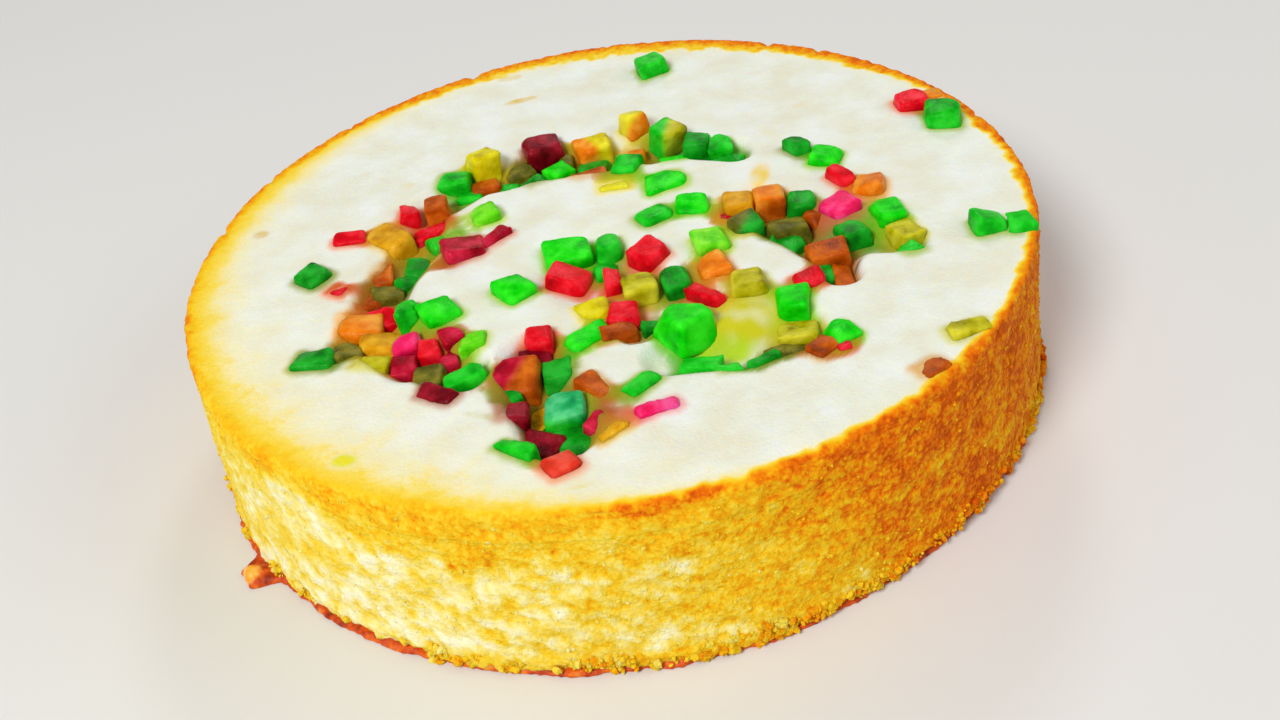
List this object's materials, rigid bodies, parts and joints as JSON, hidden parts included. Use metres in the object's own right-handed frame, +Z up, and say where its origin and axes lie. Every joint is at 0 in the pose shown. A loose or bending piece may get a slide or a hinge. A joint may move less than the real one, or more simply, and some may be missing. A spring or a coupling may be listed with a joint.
{
  "type": "semolina cake",
  "caption": "Round uncut semolina cake with a pale top, a golden rim, crumbly golden sides and diced candied fruit sunk into the top.",
  "frame": {"origin": "centre of the cake's base, on the surface it rests on", "axes": "+Z up out of the top, -Y towards the near side, +X to the right as the picture shows it"},
  "size_m": [0.1852, 0.1852, 0.0431],
  "materials": {
    "crumb": "matte, porous baked crumb",
    "candied_bright_green": "glossy translucent candied fruit",
    "candied_lime": "glossy translucent candied fruit",
    "candied_green": "glossy translucent candied fruit",
    "candied_dark_green": "glossy translucent candied fruit",
    "candied_olive": "glossy translucent candied fruit",
    "candied_yellow": "glossy translucent candied fruit",
    "candied_amber": "glossy translucent candied fruit",
    "candied_orange": "glossy translucent candied fruit",
    "candied_rust": "glossy translucent candied fruit",
    "candied_red": "glossy translucent candied fruit",
    "candied_crimson": "glossy translucent candied fruit",
    "candied_maroon": "glossy translucent candied fruit",
    "candied_pink": "glossy translucent candied fruit"
  },
  "bodies": {
    "root": {"cake": "crumb", "fruit_bright_green_01": "candied_bright_green", "fruit_bright_green_02": "candied_bright_green", "fruit_bright_green_03": "candied_bright_green", "fruit_bright_green_04": "candied_bright_green", "fruit_bright_green_05": "candied_bright_green", "fruit_bright_green_06": "candied_bright_green", "fruit_bright_green_07": "candied_bright_green", "fruit_bright_green_08": "candied_bright_green", "fruit_bright_green_09": "candied_bright_green", "fruit_bright_green_10": "candied_bright_green", "fruit_lime_01": "candied_lime", "fruit_lime_02": "candied_lime", "fruit_green_01": "candied_green", "fruit_green_02": "candied_green", "fruit_green_03": "candied_green", "fruit_green_04": "candied_green", "fruit_green_05": "candied_green", "fruit_green_06": "candied_green", "fruit_green_07": "candied_green", "fruit_green_08": "candied_green", "fruit_green_09": "candied_green", "fruit_green_10": "candied_green", "fruit_green_11": "candied_green", "fruit_dark_green_01": "candied_dark_green", "fruit_dark_green_02": "candied_dark_green", "fruit_dark_green_03": "candied_dark_green", "fruit_dark_green_04": "candied_dark_green", "fruit_dark_green_05": "candied_dark_green", "fruit_dark_green_06": "candied_dark_green", "fruit_dark_green_07": "candied_dark_green", "fruit_olive_01": "candied_olive", "fruit_olive_02": "candied_olive", "fruit_olive_03": "candied_olive", "fruit_yellow_01": "candied_yellow", "fruit_yellow_02": "candied_yellow", "fruit_yellow_03": "candied_yellow", "fruit_amber_01": "candied_amber", "fruit_amber_02": "candied_amber", "fruit_orange_01": "candied_orange", "fruit_orange_02": "candied_orange", "fruit_orange_03": "candied_orange", "fruit_rust_01": "candied_rust", "fruit_rust_02": "candied_rust", "fruit_rust_03": "candied_rust", "fruit_rust_04": "candied_rust", "fruit_red_01": "candied_red", "fruit_red_02": "candied_red", "fruit_red_03": "candied_red", "fruit_red_04": "candied_red", "fruit_red_05": "candied_red", "fruit_red_06": "candied_red", "fruit_red_07": "candied_red", "fruit_red_08": "candied_red", "fruit_crimson_01": "candied_crimson", "fruit_crimson_02": "candied_crimson", "fruit_maroon_01": "candied_maroon", "fruit_maroon_02": "candied_maroon", "fruit_pink_01": "candied_pink"}
  },
  "joints": []
}
